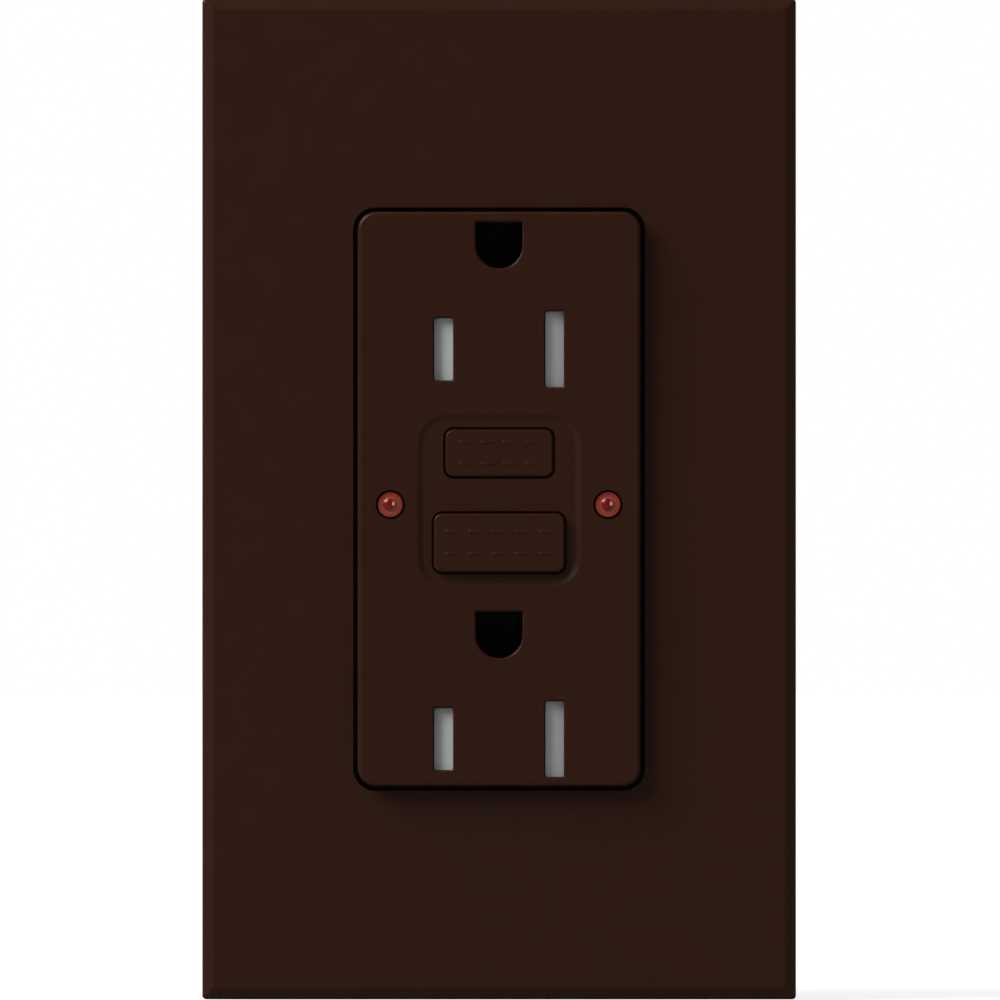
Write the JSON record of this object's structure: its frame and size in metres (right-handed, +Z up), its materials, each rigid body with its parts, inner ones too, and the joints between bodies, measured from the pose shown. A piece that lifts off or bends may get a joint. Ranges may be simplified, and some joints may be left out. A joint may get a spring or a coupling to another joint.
{
  "type": "gfci outlet",
  "caption": "Duplex ground-fault outlet with test and reset buttons, tamper-resistant shutters, side terminals and a screwless wall plate.",
  "frame": {"origin": "in the wall's plane, midway between the two box screws, which is the middle of the device and its plate", "axes": "+X to the right as seen from the room, +Y into the wall, +Z up; the front faces -Y"},
  "size_m": [0.068, 0.0397, 0.1146],
  "materials": {
    "plate_plastic": "satin moulded dark brown",
    "face_plastic": "satin moulded dark brown",
    "button_plastic": "satin moulded dark brown",
    "subplate_plastic": "moulded dark brown",
    "shutter_grey": "moulded light grey acetal",
    "guide_plastic": "moulded off-white",
    "lens_red": "clear red acrylic",
    "strap_steel": "zinc plated",
    "zinc_steel": "zinc plated",
    "spring_steel": "drawn wire",
    "brass": "stamped brass",
    "tinned_brass": "nickel plated brass",
    "spring_bronze": "spring bronze",
    "copper": "enamelled copper",
    "green_screw": "green dyed plating",
    "fibre": "fibre washer",
    "carrier_plastic": "moulded black",
    "housing_plastic": "moulded charcoal",
    "bobbin_plastic": "moulded black",
    "board_green": "solder mask",
    "ferrite": "sintered ferrite",
    "chip_black": "epoxy",
    "capacitor_sleeve": "heat-shrink sleeve",
    "varistor_blue": "dipped epoxy",
    "resistor_body": "lacquered"
  },
  "bodies": {
    "root": {"assembly_screws": "zinc_steel", "box_screws": "zinc_steel", "capacitors": "capacitor_sleeve", "circuit_board": "board_green", "contact_carrier": "carrier_plastic", "control_chip": "chip_black", "face_cover": "face_plastic", "ground_contact_lower": "brass", "ground_contact_upper": "brass", "ground_rivets": "brass", "hot_bus": "brass", "indicator_leds": "lens_red", "lenses": "lens_red", "line_hot_terminal": "brass", "line_neutral_terminal": "tinned_brass", "mounting_strap": "strap_steel", "neutral_bus": "tinned_brass", "plunger_spring": "spring_steel", "primary_conductors": "copper", "rear_housing": "housing_plastic", "reset_spring": "spring_steel", "resistors": "resistor_body", "screw_retainers": "fibre", "shutter_guide_lower": "guide_plastic", "shutter_guide_upper": "guide_plastic", "shutter_spring_lower": "spring_steel", "shutter_spring_upper": "spring_steel", "solenoid_bobbin": "bobbin_plastic", "solenoid_coil": "copper", "solenoid_frame": "zinc_steel", "test_resistor": "resistor_body", "thyristor": "chip_black", "transformer_cores": "ferrite", "transformer_housing": "bobbin_plastic", "varistor": "varistor_blue", "wallplate_base": "subplate_plastic", "wallplate_cover": "plate_plastic", "wallplate_screws": "zinc_steel"},
    "test": {"test_button": "button_plastic"},
    "test_leaf": {"test_blade": "spring_bronze"},
    "reset": {"reset_button": "button_plastic", "reset_pin": "zinc_steel"},
    "latch_carriage": {"latch_block": "carrier_plastic"},
    "arms": {"contact_arms": "spring_bronze"},
    "solenoid_plunger": {"plunger": "zinc_steel"},
    "latch": {"latch_plate": "zinc_steel"},
    "upper_hot_shutter": {"shutter_upper_hot": "shutter_grey"},
    "upper_neutral_shutter": {"shutter_upper_neutral": "shutter_grey"},
    "lower_hot_shutter": {"shutter_lower_hot": "shutter_grey"},
    "lower_neutral_shutter": {"shutter_lower_neutral": "shutter_grey"},
    "line_hot_clamp_body": {"line_hot_clamp": "brass"},
    "line_hot_screw_body": {"line_hot_screw": "brass"},
    "line_neutral_clamp_body": {"line_neutral_clamp": "tinned_brass"},
    "line_neutral_screw_body": {"line_neutral_screw": "tinned_brass"},
    "load_hot_clamp_body": {"load_hot_clamp": "brass"},
    "load_hot_screw_body": {"load_hot_screw": "brass"},
    "load_neutral_clamp_body": {"load_neutral_clamp": "tinned_brass"},
    "load_neutral_screw_body": {"load_neutral_screw": "tinned_brass"},
    "ground_clamp_body": {"ground_clamp": "brass"},
    "ground_screw_body": {"ground_screw": "green_screw"}
  },
  "joints": [
    {"name": "test_press", "type": "slide", "parent": "root", "child": "test", "axis": [0, 1, 0], "range_m": [0, 0.0015], "stiffness_N_per_m": 1500, "springref_m": -0.0005},
    {"name": "test_leaf_bend", "type": "hinge", "parent": "root", "child": "test_leaf", "pos_m": [0.0108, 0.0025, 0.00528], "axis": [0, 0, -1], "range_deg": [0, 8.9]},
    {"name": "reset_press", "type": "slide", "parent": "root", "child": "reset", "axis": [0, 1, 0], "range_m": [0, 0.0022], "stiffness_N_per_m": 1200, "springref_m": -0.001, "deforming": ["reset_spring"]},
    {"name": "latch_block_lift", "type": "slide", "parent": "root", "child": "latch_carriage", "axis": [0, 1, 0], "range_m": [0, 0.0022]},
    {"name": "contact_arms_bend", "type": "hinge", "parent": "root", "child": "arms", "pos_m": [0, 0.01385, 0.0096], "axis": [1, 0, 0], "range_deg": [0, 8.7]},
    {"name": "plunger_stroke", "type": "slide", "parent": "root", "child": "solenoid_plunger", "axis": [0, 0, 1], "range_m": [0, 0.0018], "stiffness_N_per_m": 300, "springref_m": -0.0005, "deforming": ["plunger_spring"]},
    {"name": "latch_plate_slide", "type": "slide", "parent": "latch_carriage", "child": "latch", "axis": [0, 0, 1], "range_m": [0, 0.0018]},
    {"name": "shutter_upper_hot_slide", "type": "slide", "parent": "root", "child": "upper_hot_shutter", "axis": [1, 0, 0], "range_m": [0, 0.003], "stiffness_N_per_m": 150, "springref_m": -0.001, "deforming": ["shutter_spring_upper"]},
    {"name": "shutter_upper_neutral_slide", "type": "slide", "parent": "root", "child": "upper_neutral_shutter", "axis": [-1, 0, 0], "range_m": [0, 0.003], "stiffness_N_per_m": 150, "springref_m": -0.001},
    {"name": "shutter_lower_hot_slide", "type": "slide", "parent": "root", "child": "lower_hot_shutter", "axis": [1, 0, 0], "range_m": [0, 0.003], "stiffness_N_per_m": 150, "springref_m": -0.001, "deforming": ["shutter_spring_lower"]},
    {"name": "shutter_lower_neutral_slide", "type": "slide", "parent": "root", "child": "lower_neutral_shutter", "axis": [-1, 0, 0], "range_m": [0, 0.003], "stiffness_N_per_m": 150, "springref_m": -0.001},
    {"name": "line_hot_clamp_slide", "type": "slide", "parent": "root", "child": "line_hot_clamp_body", "axis": [-1, 0, 0], "range_m": [0, 0.003]},
    {"name": "line_hot_screw_turn", "type": "hinge", "parent": "line_hot_clamp_body", "child": "line_hot_screw_body", "pos_m": [-0.018, 0.0146, 0.013], "axis": [-1, 0, 0], "range_deg": [0, 1362]},
    {"name": "line_neutral_clamp_slide", "type": "slide", "parent": "root", "child": "line_neutral_clamp_body", "axis": [1, 0, 0], "range_m": [0, 0.003]},
    {"name": "line_neutral_screw_turn", "type": "hinge", "parent": "line_neutral_clamp_body", "child": "line_neutral_screw_body", "pos_m": [0.018, 0.0146, 0.013], "axis": [1, 0, 0], "range_deg": [0, 1362]},
    {"name": "load_hot_clamp_slide", "type": "slide", "parent": "root", "child": "load_hot_clamp_body", "axis": [-1, 0, 0], "range_m": [0, 0.003]},
    {"name": "load_hot_screw_turn", "type": "hinge", "parent": "load_hot_clamp_body", "child": "load_hot_screw_body", "pos_m": [-0.018, 0.0146, -0.013], "axis": [-1, 0, 0], "range_deg": [0, 1362]},
    {"name": "load_neutral_clamp_slide", "type": "slide", "parent": "root", "child": "load_neutral_clamp_body", "axis": [1, 0, 0], "range_m": [0, 0.003]},
    {"name": "load_neutral_screw_turn", "type": "hinge", "parent": "load_neutral_clamp_body", "child": "load_neutral_screw_body", "pos_m": [0.018, 0.0146, -0.013], "axis": [1, 0, 0], "range_deg": [0, 1362]},
    {"name": "ground_clamp_slide", "type": "slide", "parent": "root", "child": "ground_clamp_body", "axis": [-1, 0, 0], "range_m": [0, 0.0024]},
    {"name": "ground_screw_turn", "type": "hinge", "parent": "ground_clamp_body", "child": "ground_screw_body", "pos_m": [-0.02, 0.0066, -0.0255], "axis": [-1, 0, 0], "range_deg": [0, 1090]}
  ],
  "couplings": [
    {"joint": "test_leaf_bend", "follows": "test_press", "rad_per_m": 102},
    {"joint": "latch_block_lift", "follows": "reset_press", "ratio": 1},
    {"joint": "contact_arms_bend", "follows": "reset_press", "rad_per_m": 68.5},
    {"joint": "latch_plate_slide", "follows": "plunger_stroke", "ratio": 1},
    {"joint": "shutter_upper_neutral_slide", "follows": "shutter_upper_hot_slide", "ratio": 1},
    {"joint": "shutter_lower_neutral_slide", "follows": "shutter_lower_hot_slide", "ratio": 1},
    {"joint": "line_hot_screw_turn", "follows": "line_hot_clamp_slide", "rad_per_m": 7913.3},
    {"joint": "line_neutral_screw_turn", "follows": "line_neutral_clamp_slide", "rad_per_m": 7913.3},
    {"joint": "load_hot_screw_turn", "follows": "load_hot_clamp_slide", "rad_per_m": 7913.3},
    {"joint": "load_neutral_screw_turn", "follows": "load_neutral_clamp_slide", "rad_per_m": 7913.3},
    {"joint": "ground_screw_turn", "follows": "ground_clamp_slide", "rad_per_m": 7913.3}
  ]
}
